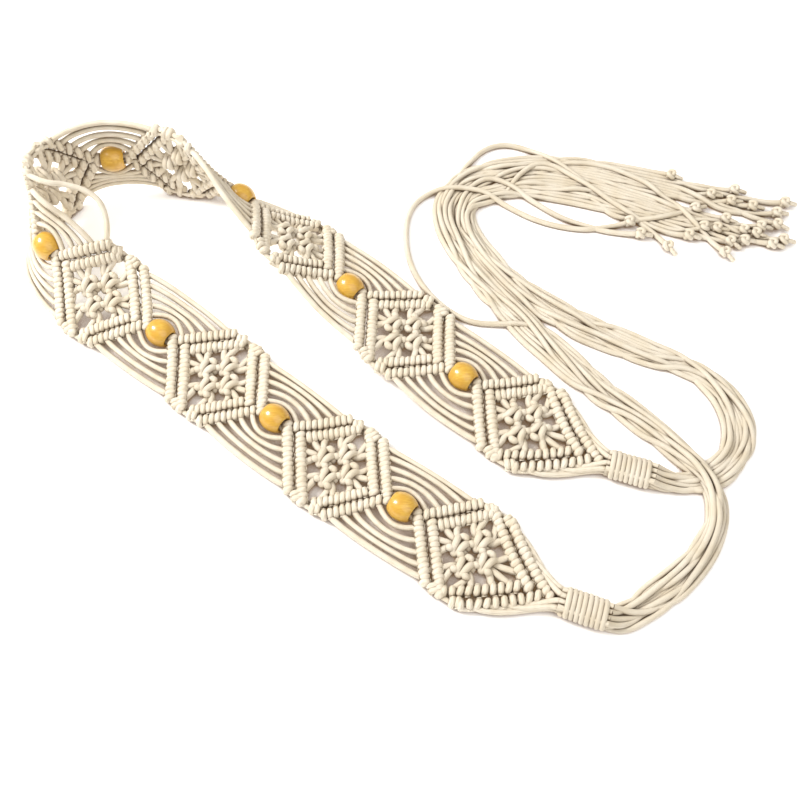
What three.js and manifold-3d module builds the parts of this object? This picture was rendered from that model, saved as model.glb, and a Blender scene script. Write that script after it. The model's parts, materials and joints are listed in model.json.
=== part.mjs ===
// A knotted (macrame) belt of natural waxed cotton cord with wooden beads, laid in a U on a surface.
// Millimetres, +Z up. The belt's band is drawn flat first, as (along, across, up), and every point
// of it is then carried onto the band's path, which lies on the surface and stands on edge at the turn.
import * as THREE from "three";
import { mergeVertices } from "three/addons/utils/BufferGeometryUtils.js";
import Module from "manifold-3d";

const wasm = await Module();
wasm.setup();

// Cord and clearances
const CORD = 3;
const TOUCH_GAP = 0.35;
const FLOAT_GAP = 1;

// Knotted panels: two rows of hitches on each slanting side, round a pierced net. The rows run out
// to the band's edge, so a panel has blunt tips and shoulders. The side next to a wrap is longer.
const PANEL_LENGTH = 64;
const PANEL_WIDTH = 52;
const TIP_WIDTH = 6.9;
const SIDE_ANGLE = 49;
const END_REACH = 38.5;
const END_SIDE_ANGLE = 37;
const ROW = 6.2;
const ROW_HEIGHT = 5.2;
const ROW_CHAMFER = 1.5;
const ROW_OVERLAP = 0.2;
const NET_THICKNESS = 3.6;
const NET_BAR = 4.4;
const FLOATS_PER_SIDE = 5;
const FLOAT_WIDTH = 2.8;
const FLOAT_BOW = 0.28;
const END_FLOAT_BOW = 3;
const END_FLOAT_HANDLES = [0.45, 0.8];
const CURVED_ROLL = 10;

// Beads
const BEAD_DIAMETER = 14;
const BEAD_LENGTH = 12;
const BEAD_END_DIAMETER = 9.4;
const BEAD_HOLE = 7;
const BEAD_SIDES = 10;
const BEAD_SHOULDER = { along: 0.6, swell: 0.78 };
const BEAD_TO_PANEL = 1.4;

// Gathering wraps
const WRAP_LENGTH = 22;
const WRAP_WIDTH = 15;
const WRAP_HEIGHT = 11;
const WRAP_TURNS = 8;
const WRAP_GROOVE = 0.8;
const WRAP_SIDES = 8;
const WRAP_FLAT = 1;
const WRAP_TO_PANEL = 6.5;

// Ties
const TAIL_DIAMETER = 5;
const TAIL_SIDES = 5;
const KNOB_DIAMETER = 8;
const HUMP_HEIGHT = 9.6;
const TIE_LEAD = 9;

// Derived sizes of the band
const HALF_LENGTH = PANEL_LENGTH / 2;
const HALF_WIDTH = PANEL_WIDTH / 2;
const HALF_PITCH = HALF_LENGTH + BEAD_TO_PANEL + BEAD_LENGTH / 2;
const PITCH = 2 * HALF_PITCH;
const WRAP_OFFSET = END_REACH + WRAP_TO_PANEL + WRAP_LENGTH / 2;

// The band's path. heading: degrees from +X. roll: 0 lies flat with its face up, 90 stands on its
// outer edge. draw: share of the full length that the stretch to the next station takes.
const STATIONS = [
  { at: "wrap_front", heading: 160, roll: 0, draw: 1 },
  { at: "panel_1", heading: 145, roll: 0, draw: 1 },
  { at: "bead_1", heading: 146, roll: 0, draw: 0.99 },
  { at: "panel_2", heading: 143, roll: 0, draw: 1 },
  { at: "bead_2", heading: 141, roll: 0, draw: 1 },
  { at: "panel_3", heading: 140, roll: 0, draw: 0.99 },
  { at: "bead_3", heading: 144, roll: 4, draw: 0.98 },
  { at: "panel_4", heading: 149, roll: 14, draw: 0.97 },
  { at: "bead_4", heading: 134, roll: 50, draw: 0.96 },
  { at: "panel_5", heading: 58, roll: 98, draw: 0.99 },
  { at: "bead_5", heading: 5, roll: 98, draw: 0.96 },
  { at: "panel_6", heading: -21, roll: 90, draw: 0.96 },
  { at: "bead_6", heading: -37, roll: 55, draw: 0.96 },
  { at: "panel_7", heading: -39, roll: 28, draw: 0.97 },
  { at: "bead_7", heading: -42, roll: 12, draw: 0.99 },
  { at: "panel_8", heading: -44, roll: 4, draw: 1 },
  { at: "bead_8", heading: -40, roll: 0, draw: 1 },
  { at: "panel_9", heading: -37, roll: 0, draw: 0.98 },
  { at: "wrap_back", heading: -18, roll: 0, draw: 1 },
];
const PATH_START = { x: 82.9, y: -108.4 };
const STEPS_PER_STRETCH = 16;

// The ties' routes on the surface, chosen by hand from the wrap outwards
const ROUTE_FRONT = [
  [121, -106], [134, -94], [144, -80], [150, -65], [150, -52], [144, -39], [133, -26], [118, -11],
  [102, 2], [87, 17], [72, 33], [57, 50], [42, 69], [31, 90], [24, 110], [25, 125], [35, 137],
  [52, 143], [74, 145], [96, 144], [120, 138], [146, 130], [174, 120],
];
const ROUTE_BACK = [
  [135, -46], [149, -43], [160, -35], [166, -22], [165, -7], [158, 8], [145, 19], [128, 26],
  [110, 35], [89, 46], [68, 61], [51, 79], [40, 95], [34, 111], [37, 122], [50, 129], [66, 132],
  [88, 129], [110, 122], [131, 114], [152, 107], [170, 102],
];

// Sections of a tie: share of its route, and its width and height as shares of the wrap's
const SECTIONS_FRONT = [
  { share: 0, width: 0.75, height: 0.82 },
  { share: 0.06, width: 1.05, height: 0.64 },
  { share: 0.13, width: 0.6, height: 0.9 },
  { share: 0.22, width: 0.65, height: 0.9 },
  { share: 0.32, width: 0.75, height: 0.82 },
  { share: 0.4, width: 0.95, height: 0.7 },
  { share: 0.48, width: 1, height: 0.64 },
  { share: 0.55, width: 0.75, height: 0.82 },
  { share: 0.6, width: 0.55, height: 1 },
  { share: 0.66, width: 0.53, height: 1 },
  { share: 0.72, width: 0.7, height: 0.82 },
  { share: 0.8, width: 0.85, height: 0.7 },
  { share: 0.9, width: 0.95, height: 0.64 },
  { share: 1, width: 0.9, height: 0.55 },
];
const SECTIONS_BACK = [
  { share: 0, width: 0.8, height: 0.82 },
  { share: 0.07, width: 0.85, height: 0.75 },
  { share: 0.17, width: 1.05, height: 0.64 },
  { share: 0.25, width: 0.8, height: 0.82 },
  { share: 0.34, width: 1.1, height: 0.6 },
  { share: 0.42, width: 1, height: 0.64 },
  { share: 0.49, width: 0.8, height: 0.82 },
  { share: 0.55, width: 0.6, height: 0.95 },
  { share: 0.63, width: 0.53, height: 1 },
  { share: 0.7, width: 0.7, height: 0.82 },
  { share: 0.8, width: 0.85, height: 0.7 },
  { share: 0.9, width: 0.95, height: 0.64 },
  { share: 1, width: 0.9, height: 0.55 },
];

// The tails that a tie ends in: from a point of its route to the knot at the tail's end
const TAILS_FRONT = [
  { from: [112, 143], to: [158, 146] },
  { from: [160, 127], to: [190, 131] },
  { from: [168, 123], to: [218, 126] },
  { from: [170, 121], to: [213, 112] },
];
const TAILS_BACK = [
  { from: [112, 119], to: [147, 92] },
  { from: [140, 110], to: [176, 90] },
  { from: [162, 104], to: [201, 98] },
  { from: [160, 106], to: [193, 107] },
];

const waxedCotton = new THREE.MeshStandardMaterial({ color: 0xf0e6d4, roughness: 0.75, metalness: 0 });
const lacqueredWood = new THREE.MeshStandardMaterial({ color: 0xd6a040, roughness: 0.3, metalness: 0 });

const radians = THREE.MathUtils.degToRad;
const lerp = THREE.MathUtils.lerp;

// The slanting side of a panel, and how far the panel's middle is from its outer edge
const SIDE = { reach: HALF_LENGTH, angle: radians(SIDE_ANGLE) };
const END_SIDE = { reach: END_REACH, angle: radians(END_SIDE_ANGLE) };
const SIDE_DISTANCE = HALF_LENGTH * Math.sin(SIDE.angle) + (TIP_WIDTH / 2) * Math.cos(SIDE.angle);

// Solids and geometries
function toSolid(geometry) {
  const bare = geometry.clone();
  bare.deleteAttribute("normal");
  bare.deleteAttribute("uv");
  const merged = mergeVertices(bare, 1e-4);
  return new wasm.Manifold(
    new wasm.Mesh({
      numProp: 3,
      vertProperties: new Float32Array(merged.attributes.position.array),
      triVerts: new Uint32Array(merged.index.array),
    }),
  );
}

function toGeometry(solid) {
  const mesh = solid.getMesh();
  return new THREE.BufferGeometry()
    .setAttribute("position", new THREE.BufferAttribute(new Float32Array(mesh.vertProperties), 3))
    .setIndex(new THREE.BufferAttribute(new Uint32Array(mesh.triVerts), 1));
}

function joined(geometries) {
  return geometries.map(toSolid).reduce((whole, piece) => whole.add(piece));
}

function moveVertices(geometry, move) {
  const place = geometry.attributes.position;
  for (let i = 0; i < place.count; i++) {
    const p = move(place.getX(i), place.getY(i), place.getZ(i));
    place.setXYZ(i, p.x, p.y, p.z);
  }
  geometry.computeVertexNormals();
  return geometry;
}

function regularShape(sides, radiusX, radiusY) {
  const points = Array.from({ length: sides }, (_, i) => {
    const angle = ((i + 0.5) / sides) * 2 * Math.PI;
    return new THREE.Vector2(radiusX * Math.cos(angle), radiusY * Math.sin(angle));
  });
  return new THREE.Shape(points);
}

// The band's path on the surface
function standingHeight(roll) {
  return HALF_WIDTH * Math.sin(roll) + (ROW_HEIGHT / 2) * Math.abs(Math.cos(roll));
}

function stationHeight(station) {
  const base = standingHeight(radians(station.roll));
  if (station.at.startsWith("bead")) return Math.max(base, BEAD_DIAMETER / 2);
  if (station.at.startsWith("wrap")) return WRAP_HEIGHT / 2 - WRAP_FLAT;
  return base;
}

function tracePath() {
  const samples = [];
  let x = PATH_START.x;
  let y = PATH_START.y;
  let along = -WRAP_OFFSET;
  for (let k = 0; k < STATIONS.length - 1; k++) {
    const from = STATIONS[k];
    const to = STATIONS[k + 1];
    const nominal = k === 0 || k === STATIONS.length - 2 ? WRAP_OFFSET : HALF_PITCH;
    const rise = stationHeight(to) - stationHeight(from);
    const plan = Math.sqrt(Math.max(0, (nominal * from.draw) ** 2 - rise ** 2));
    const liftFrom = stationHeight(from) - standingHeight(radians(from.roll));
    const liftTo = stationHeight(to) - standingHeight(radians(to.roll));
    for (let i = 0; i < STEPS_PER_STRETCH; i++) {
      const t = i / STEPS_PER_STRETCH;
      const ease = t * t * (3 - 2 * t);
      const heading = radians(lerp(from.heading, to.heading, t));
      const roll = radians(lerp(from.roll, to.roll, t));
      const lift = lerp(liftFrom, liftTo, ease) * Math.max(1 - ease, ease) ** 0.5;
      samples.push({ along: along + nominal * t, x, y, heading, roll, lift });
      const middle = radians(lerp(from.heading, to.heading, t + 0.5 / STEPS_PER_STRETCH));
      x += (plan / STEPS_PER_STRETCH) * Math.cos(middle);
      y += (plan / STEPS_PER_STRETCH) * Math.sin(middle);
    }
    along += nominal;
  }
  const last = STATIONS.at(-1);
  samples.push({
    along, x, y,
    heading: radians(last.heading),
    roll: radians(last.roll),
    lift: stationHeight(last) - standingHeight(radians(last.roll)),
  });
  return samples;
}
const PATH = tracePath();

function pathAt(along) {
  let k = PATH.findIndex((sample) => sample.along > along) - 1;
  if (k === -2) k = PATH.length - 2;
  k = Math.max(0, k);
  const a = PATH[k];
  const b = PATH[k + 1];
  const t = (along - a.along) / (b.along - a.along);
  const mix = (name) => lerp(a[name], b[name], t);
  return { x: mix("x"), y: mix("y"), heading: mix("heading"), roll: mix("roll"), lift: mix("lift") };
}

// across is positive towards the outer edge, up is positive on the band's face
function bandPoint(along, across, up) {
  const p = pathAt(along);
  const outward = new THREE.Vector3(-Math.sin(p.heading), Math.cos(p.heading), 0);
  const droop = Math.max(0, 1 - Math.abs(across) / HALF_WIDTH);
  const point = new THREE.Vector3(p.x, p.y, standingHeight(p.roll) + p.lift * droop);
  point.addScaledVector(outward, across * Math.cos(p.roll) + up * Math.sin(p.roll));
  point.z += up * Math.cos(p.roll) - across * Math.sin(p.roll);
  return point;
}

// Panels, drawn flat
function stationAlong(number) {
  return (number - 1) * PITCH;
}

// The corners of four side lines at a distance from the panel's middle: tip, shoulder, tip, shoulder
function diamond(distance, sideSteps, back, front) {
  const turn = Math.sin(front.angle) + Math.cos(front.angle) * Math.tan(back.angle);
  const along = (distance * (1 - Math.cos(front.angle) / Math.cos(back.angle))) / turn;
  const across = (distance - along * Math.sin(front.angle)) / Math.cos(front.angle);
  const corners = [
    [distance / Math.sin(front.angle), 0],
    [along, across],
    [-distance / Math.sin(back.angle), 0],
    [along, -across],
  ];
  const points = [];
  corners.forEach((corner, i) => {
    const next = corners[(i + 1) % corners.length];
    for (let k = 0; k < sideSteps; k++) {
      const t = k / sideSteps;
      points.push(new THREE.Vector2(lerp(corner[0], next[0], t), lerp(corner[1], next[1], t)));
    }
  });
  return points;
}

// A row of hitches as a chamfered ring, whose outer edge lies at a distance from the panel's middle
function hitchRow(distance, sideSteps, back, front) {
  const shape = new THREE.Shape(diamond(distance, sideSteps, back, front));
  const inner = diamond(distance - ROW, sideSteps, back, front);
  shape.holes.push(new THREE.Path(inner.reverse()));
  const geometry = new THREE.ExtrudeGeometry(shape, {
    depth: ROW_HEIGHT - 2 * ROW_CHAMFER,
    bevelThickness: ROW_CHAMFER,
    bevelSize: ROW_CHAMFER,
    bevelOffset: -ROW_CHAMFER,
    bevelSegments: 1,
  });
  return geometry.translate(0, 0, ROW_CHAMFER - ROW_HEIGHT / 2);
}

// A flat block of a given outline and thickness, with its middle at height 0
function block(points, thickness) {
  const geometry = new THREE.ExtrudeGeometry(new THREE.Shape(points), {
    depth: thickness,
    bevelEnabled: false,
  });
  return geometry.translate(0, 0, -thickness / 2);
}

// What lies between a panel's blunt tips and within the band's edges, grown all round
function bandBlock(back, front, grow) {
  const length = back.reach + front.reach + 2 * grow;
  const box = new THREE.BoxGeometry(length, PANEL_WIDTH + 2 * grow, PANEL_WIDTH);
  return box.translate((front.reach - back.reach) / 2, 0, 0);
}

// The pierced net inside the rows, with three by three holes
function netPlate(back, front) {
  const cell = (SIDE_DISTANCE - 2 * ROW) / 3;
  const [frontTip, side, backTip] = diamond(1, 1, back, front);
  // p and q are the distances from the middle towards the two kinds of sides
  const place = (p, q) => {
    const tip = p + q > 0 ? frontTip.x : -backTip.x;
    const along = ((p + q) / 2) * tip + (Math.abs(p - q) / 2) * side.x;
    return new THREE.Vector2(along, ((p - q) / 2) * side.y);
  };
  const around = (p, q, reach) => [
    place(p - reach, q - reach), place(p - reach, q + reach),
    place(p + reach, q + reach), place(p + reach, q - reach),
  ];
  const edge = diamond(SIDE_DISTANCE - 1.5 * ROW, 1, back, front);
  let net = toSolid(block(edge, NET_THICKNESS));
  for (const i of [-1, 0, 1]) {
    for (const j of [-1, 0, 1]) {
      const hole = around(2 * i * cell, 2 * j * cell, cell - NET_BAR / 2);
      net = net.subtract(toSolid(block(hole, 2 * NET_THICKNESS)));
    }
  }
  return net;
}

// Where the i-th bare cord leaves a side: on its outer edge, between the blunt tip and the shoulder
function floatRoot(i, side) {
  const share = (i + 0.5) / FLOATS_PER_SIDE;
  const sine = Math.sin(side.angle);
  const cosine = Math.cos(side.angle);
  const tip = [side.reach, Math.max(0, (SIDE_DISTANCE - side.reach * sine) / cosine)];
  const shoulder = [(SIDE_DISTANCE - HALF_WIDTH * cosine) / sine, HALF_WIDTH];
  return new THREE.Vector2(lerp(tip[0], shoulder[0], share), lerp(tip[1], shoulder[1], share));
}

function strand(points, steps, radiusUp, radiusAcross, sides = 4) {
  return new THREE.ExtrudeGeometry(regularShape(sides, radiusUp, radiusAcross), {
    steps,
    extrudePath: new THREE.CubicBezierCurve3(...points),
  });
}

// Bare cords that run from one side of a panel round the bead to the next panel's mirrored side
function floatsToNextPanel() {
  const normal = new THREE.Vector2(Math.sin(SIDE.angle), Math.cos(SIDE.angle));
  const radius = (FLOAT_WIDTH / 2) * Math.SQRT2;
  const pieces = [];
  for (let i = 0; i < FLOATS_PER_SIDE; i++) {
    const root = floatRoot(i, SIDE);
    const bowed = lerp(root.y, HALF_WIDTH, FLOAT_BOW);
    const apex = Math.max(BEAD_DIAMETER / 2 + CORD, bowed);
    // The middle of a symmetric Bezier curve is a quarter of its ends plus three of its handles
    const handle = (4 * apex - root.y) / 3 - root.y;
    const control = root.clone().addScaledVector(normal, handle / normal.y);
    root.addScaledVector(normal, -ROW / 2);
    const line = [
      [root.x, root.y], [control.x, control.y], [PITCH - control.x, control.y], [PITCH - root.x, root.y],
    ];
    for (const side of [-1, 1]) {
      const points = line.map(([x, y]) => new THREE.Vector3(x, side * y, 0));
      pieces.push(strand(points, i < 2 ? 4 : 3, radius, radius));
    }
  }
  const coreStart = HALF_LENGTH - ROW;
  const coreEnd = PITCH - coreStart;
  const corePoints = [0, 1 / 3, 2 / 3, 1].map(
    (share) => new THREE.Vector3(lerp(coreStart, coreEnd, share), 0, 0),
  );
  pieces.push(strand(corePoints, 3, CORD / 2, CORD, 6));
  return pieces;
}

// Bare cords that gather from an end panel's two long sides into the wrap
function floatsToWrap(direction) {
  const normal = new THREE.Vector2(Math.sin(END_SIDE.angle), Math.cos(END_SIDE.angle));
  const radius = (FLOAT_WIDTH / 2) * Math.SQRT2;
  const wrapFace = WRAP_OFFSET - WRAP_LENGTH / 2 - 2 * TOUCH_GAP;
  const [near, far] = END_FLOAT_HANDLES;
  const pieces = [];
  for (let i = 0; i < FLOATS_PER_SIDE; i++) {
    const root = floatRoot(i, END_SIDE).addScaledVector(normal, -ROW / 2);
    const exit = (root.y / HALF_WIDTH) * (WRAP_WIDTH / 2 - CORD / 2);
    const line = [
      [root.x, root.y],
      [lerp(root.x, wrapFace, near), root.y + END_FLOAT_BOW],
      [lerp(root.x, wrapFace, far), exit],
      [wrapFace, exit],
    ];
    for (const side of [-1, 1]) {
      const points = line.map(([x, y]) => new THREE.Vector3(direction * x, side * y, 0));
      pieces.push(strand(points, 3, radius, radius));
    }
  }
  return pieces;
}

function makePanel(number, count) {
  const first = number === 1;
  const last = number === count;
  const back = first ? END_SIDE : SIDE;
  const front = last ? END_SIDE : SIDE;
  const curved = STATIONS.find((station) => station.at === `panel_${number}`).roll > CURVED_ROLL;
  const sideSteps = curved ? 2 : 1;
  const rows = joined([
    hitchRow(SIDE_DISTANCE, sideSteps, back, front),
    hitchRow(SIDE_DISTANCE - ROW + ROW_OVERLAP, sideSteps, back, front),
  ]);
  let solid = rows.intersect(toSolid(bandBlock(back, front, 0))).add(netPlate(back, front));
  if (first) solid = solid.add(joined(floatsToWrap(-1)));
  if (last) solid = solid.add(joined(floatsToWrap(1)));
  if (!last) {
    const ahead = number + 1 === count ? END_SIDE : SIDE;
    const outline = block(diamond(SIDE_DISTANCE + FLOAT_GAP, 1, SIDE, ahead), PANEL_WIDTH);
    const next = toSolid(outline).intersect(toSolid(bandBlock(SIDE, ahead, FLOAT_GAP)));
    solid = solid.add(joined(floatsToNextPanel()).subtract(next.translate(PITCH, 0, 0)));
  }
  const along = stationAlong(number);
  const geometry = moveVertices(toGeometry(solid), (x, y, z) => bandPoint(along + x, y, z));
  const mesh = new THREE.Mesh(geometry, waxedCotton);
  mesh.name = `panel_${number}`;
  return mesh;
}

// Beads
function makeBead(number) {
  const half = BEAD_LENGTH / 2;
  const hole = BEAD_HOLE / 2;
  const end = BEAD_END_DIAMETER / 2;
  const belly = BEAD_DIAMETER / 2;
  const shoulder = lerp(end, belly, BEAD_SHOULDER.swell);
  const reach = half * BEAD_SHOULDER.along;
  const profile = [
    [hole, -half], [end, -half], [shoulder, -reach], [belly, 0],
    [shoulder, reach], [end, half], [hole, half], [hole, -half],
  ].map(([radius, along]) => new THREE.Vector2(radius, along));
  const mesh = new THREE.Mesh(new THREE.LatheGeometry(profile, BEAD_SIDES), lacqueredWood);
  mesh.name = `bead_${number}`;
  const along = stationAlong(number) + HALF_PITCH;
  const ahead = bandPoint(along + 1, 0, 0);
  const behind = bandPoint(along - 1, 0, 0);
  mesh.position.copy(bandPoint(along, 0, 0));
  mesh.quaternion.setFromUnitVectors(new THREE.Vector3(0, 1, 0), ahead.sub(behind).normalize());
  return mesh;
}

// Gathering wraps: turns of cord round all twelve cords, flattened where they rest
function makeWrap(name, station) {
  const half = WRAP_LENGTH / 2;
  const turn = WRAP_LENGTH / WRAP_TURNS;
  const full = WRAP_WIDTH / 2;
  const profile = [[0, -half]];
  for (let i = 0; i < WRAP_TURNS; i++) {
    profile.push([full - WRAP_GROOVE, -half + i * turn]);
    profile.push([full, -half + (i + 0.5) * turn]);
  }
  profile.push([full - WRAP_GROOVE, half], [0, half]);
  const coil = new THREE.LatheGeometry(
    profile.map((p) => new THREE.Vector2(...p)),
    WRAP_SIDES,
    Math.PI / WRAP_SIDES,
  );
  coil.rotateZ(-Math.PI / 2);
  coil.scale(1, 1, WRAP_HEIGHT / WRAP_WIDTH);
  coil.translate(0, 0, WRAP_HEIGHT / 2 - WRAP_FLAT);
  const below = new THREE.BoxGeometry(2 * WRAP_LENGTH, 2 * WRAP_WIDTH, WRAP_HEIGHT);
  below.translate(0, 0, -WRAP_HEIGHT / 2);
  const geometry = toGeometry(toSolid(coil).subtract(toSolid(below)));
  const mesh = new THREE.Mesh(geometry, waxedCotton);
  mesh.name = name;
  mesh.position.set(station.x, station.y, 0);
  mesh.rotation.z = station.heading;
  return mesh;
}

// Ties: a thick bundle of twelve cords, flat below, that ends in tails with a knot each
function sectionAt(sections, share) {
  const k = Math.max(1, sections.findIndex((section) => section.share >= share));
  const a = sections[k - 1];
  const b = sections[k];
  const t = (share - a.share) / (b.share - a.share);
  return {
    width: WRAP_WIDTH * lerp(a.width, b.width, t),
    height: WRAP_HEIGHT * lerp(a.height, b.height, t),
  };
}

function bundle(route, sections, steps, hump) {
  const shape = new THREE.CylinderGeometry(1, 1, 1, 8, steps, false, Math.PI / 8);
  const flat = Math.cos(Math.PI / 8);
  return moveVertices(shape, (x, y, z) => {
    const share = y + 0.5;
    const centre = route.getPointAt(share);
    const tangent = route.getTangentAt(share);
    const right = new THREE.Vector3(tangent.y, -tangent.x, 0).normalize();
    const size = sectionAt(sections, share);
    const rise = hump ? HUMP_HEIGHT * humpShare(share, hump) : 0;
    const point = centre.clone().addScaledVector(right, ((x / flat) * size.width) / 2);
    point.z = ((z / flat + 1) / 2) * size.height + rise;
    return point;
  });
}

function humpShare(share, hump) {
  const away = Math.abs(share - hump.middle) / hump.half;
  return away < 1 ? 0.5 + 0.5 * Math.cos(Math.PI * away) : 0;
}

function tail({ from, to }) {
  const radius = TAIL_DIAMETER / 2;
  const start = new THREE.Vector3(...from, radius);
  const end = new THREE.Vector3(...to, radius);
  const line = new THREE.LineCurve3(start, end);
  const rope = new THREE.ExtrudeGeometry(regularShape(TAIL_SIDES, radius, radius), {
    steps: 1,
    extrudePath: line,
  });
  const knob = new THREE.IcosahedronGeometry(KNOB_DIAMETER / 2, 0);
  knob.translate(end.x, end.y, KNOB_DIAMETER / 2);
  return [rope, knob];
}

function makeTie(name, leads, points, sections, tails, steps, hump) {
  const places = [...leads, ...points].map(([x, y]) => new THREE.Vector3(x, y, 0));
  const route = new THREE.CatmullRomCurve3(places, false, "centripetal");
  const pieces = [bundle(route, sections, steps, hump), ...tails.flatMap(tail)];
  const mesh = new THREE.Mesh(toGeometry(joined(pieces)), waxedCotton);
  mesh.name = name;
  return mesh;
}

// Where a tie leaves its wrap, and a point straight ahead of it
function wrapLeads(station, direction) {
  const exit = WRAP_LENGTH / 2 + TOUCH_GAP;
  return [exit, exit + TIE_LEAD].map((reach) => [
    station.x + direction * reach * Math.cos(station.heading),
    station.y + direction * reach * Math.sin(station.heading),
  ]);
}

// The whole belt
const belt = new THREE.Group();
const PANELS = STATIONS.filter((station) => station.at.startsWith("panel")).length;
for (let number = 1; number <= PANELS; number++) {
  belt.add(makePanel(number, PANELS));
  if (number < PANELS) belt.add(makeBead(number));
}
const frontStation = PATH[0];
const backStation = PATH.at(-1);
belt.add(makeWrap("wrap_front", frontStation), makeWrap("wrap_back", backStation));

// The origin is the middle of the belt's own box, without the loose ties, on the surface
const box = new THREE.Box3().setFromObject(belt, true);
const hump = { middle: 0.215, half: 0.12 };
belt.add(
  makeTie("tie_front", wrapLeads(frontStation, -1), ROUTE_FRONT, SECTIONS_FRONT, TAILS_FRONT, 40, hump),
  makeTie("tie_back", wrapLeads(backStation, 1), ROUTE_BACK, SECTIONS_BACK, TAILS_BACK, 36, null),
);
belt.position.set(-(box.min.x + box.max.x) / 2, -(box.min.y + box.max.y) / 2, -box.min.z);
const model = new THREE.Group();
model.add(belt);

export default model;
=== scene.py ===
"""A knotted (macrame) belt of natural waxed cotton cord with wooden beads. It lies in a U on a pale
surface, its two ends are bound in gathering wraps, and twelve loose cords run out of each wrap."""
import json
import math
import random

import bmesh
import bpy
import numpy as np
from mathutils import Matrix, Vector
from mathutils.kdtree import KDTree

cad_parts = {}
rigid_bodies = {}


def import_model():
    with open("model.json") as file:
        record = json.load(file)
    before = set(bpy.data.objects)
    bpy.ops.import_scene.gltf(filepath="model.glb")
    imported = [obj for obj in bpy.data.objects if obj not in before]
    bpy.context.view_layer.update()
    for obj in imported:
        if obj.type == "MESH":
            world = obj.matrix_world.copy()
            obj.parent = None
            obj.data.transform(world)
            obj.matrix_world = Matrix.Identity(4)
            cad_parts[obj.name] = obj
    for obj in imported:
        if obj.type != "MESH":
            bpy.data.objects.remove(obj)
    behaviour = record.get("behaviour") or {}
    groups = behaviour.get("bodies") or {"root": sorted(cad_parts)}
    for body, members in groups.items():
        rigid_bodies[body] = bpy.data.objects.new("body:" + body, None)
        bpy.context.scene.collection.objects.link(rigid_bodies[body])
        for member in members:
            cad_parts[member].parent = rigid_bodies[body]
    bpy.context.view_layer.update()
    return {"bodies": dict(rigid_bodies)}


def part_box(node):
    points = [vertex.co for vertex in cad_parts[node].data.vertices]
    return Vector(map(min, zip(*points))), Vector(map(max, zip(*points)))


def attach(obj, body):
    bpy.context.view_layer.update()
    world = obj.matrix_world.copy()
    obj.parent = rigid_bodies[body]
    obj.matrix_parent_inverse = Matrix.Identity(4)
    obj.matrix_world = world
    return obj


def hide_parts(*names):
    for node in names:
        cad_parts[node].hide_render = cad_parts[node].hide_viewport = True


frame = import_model()

MM = 0.001
BODY = next(iter(frame["bodies"]))

# Cord, in millimetres. A knot presses the soft cord wider, so knotted cords are drawn thicker
CORD = 3.0
KNOTTED_CORD = 3.6
HELD_RADIUS = 1.3
CORD_SIDES = 8
HELD_SIDES = 6
BRAID_STRANDS = 4
BRAID_LAY = 3.2

# Knotted panels: two rows of hitches on each slanting side, which run out to the band's edge
PANELS = 9
HALF_LENGTH = 32.0
HALF_WIDTH = 26.0
TIP_WIDTH = 6.9
SIDE_ANGLE = math.radians(49)
END_REACH = 38.5
END_SIDE_ANGLE = math.radians(37)
ROW = 6.2
ROW_HEIGHT = 5.2
ROW_LIFT = 0.5

# How far a row's end stays inside the band's edge, and how far a row's end and a tip are apart
OUTER_ROW_INSET = 1.6
INNER_ROW_INSET = 1.0
ROW_MEETING = 2.9

# Hitches: how many a row has, the size of their loops, and how much one differs from the next
THROUGH_HITCHES = 7
BESIDE_HITCHES = 5
RIDGE_HALF_LENGTH = 2.95
RIDGE_TOP = 2.95
LOOP_RADIUS = 1.66
THROUGH_RADIUS = 2.15
LOOP_SQUARENESS = 0.5
LOOP_STEPS = 22
LOOP_TAIL = 1.5
LOOP_DIP = 0.4
RIDGE_LENGTH_SPREAD = (0.85, 1.25)
RIDGE_HEIGHT_SPREAD = (0.85, 1.1)
RIDGE_LEAN = (0.02, 0.26)

# The hitch that fills each corner at the band's edge: (along, inset), its half length and spacing
CORNER_PLACE = (5.4, 2.6)
CORNER_REACH = (2.0, 1.2)
CORNER_SPACING = 2.4

# Cords along the edges as (inset, up), and their way past a corner as (along, inward, drop)
EDGE_CORDS = [(1.7, 0.5), (3.6, -0.6)]
EDGE_WAY = [(-13.5, 3.2, 0.6), (-10.2, 0.6, 0), (-5, 0, 0), (0, -0.2, 0.5), (5, 0, 0),
            (10.2, 0.6, 0), (13.5, 3.2, 0.6)]
EDGE_STEPS = 4
HELD_STEPS = 6

# The net's square knots and filler cords, and where its cords run into a row, as shares of the
# half width
KNOT_SCALE = 3.15
KNOT_STEP = 7.3
KNOT_SIDE = 7.3
KNOT_LIFT = 0.1
FILLER_SPACING = 2.7
NET_EXITS = (0.15, 0.36, 0.58, 0.8)
NET_EXIT_LIFT = 0.2
NET_STEPS = 3

# A square knot, in cord diameters: (along, across, up) of the cord that shows in front and of the
# one that goes behind, for a knot whose front cord comes from the negative side
FRONT_CORD = [
    (-1.3, -1.2, 0.1), (-0.95, -1.0, 0.3), (-0.68, -0.45, 0.82), (-0.5, 0.35, 0.82),
    (-0.33, 1.05, 0.2), (0, 1.35, 0.1), (0.33, 1.05, 0.2), (0.5, 0.35, 0.82),
    (0.68, -0.45, 0.82), (0.95, -1.0, 0.3), (1.3, -1.2, 0.1),
]
BACK_CORD = [
    (-1.3, 1.2, 0.1), (-0.95, 1.15, 0.65), (-0.6, 0.8, 0.1), (-0.45, 0.3, -0.7),
    (-0.4, -0.5, -0.7), (-0.42, -1.15, 0.25), (-0.25, -1.45, 0.6), (0, -1.5, 0.6),
    (0.25, -1.45, 0.6), (0.42, -1.15, 0.25), (0.4, -0.5, -0.7), (0.45, 0.3, -0.7),
    (0.6, 0.8, 0.1), (0.95, 1.15, 0.65), (1.3, 1.2, 0.1),
]

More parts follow.
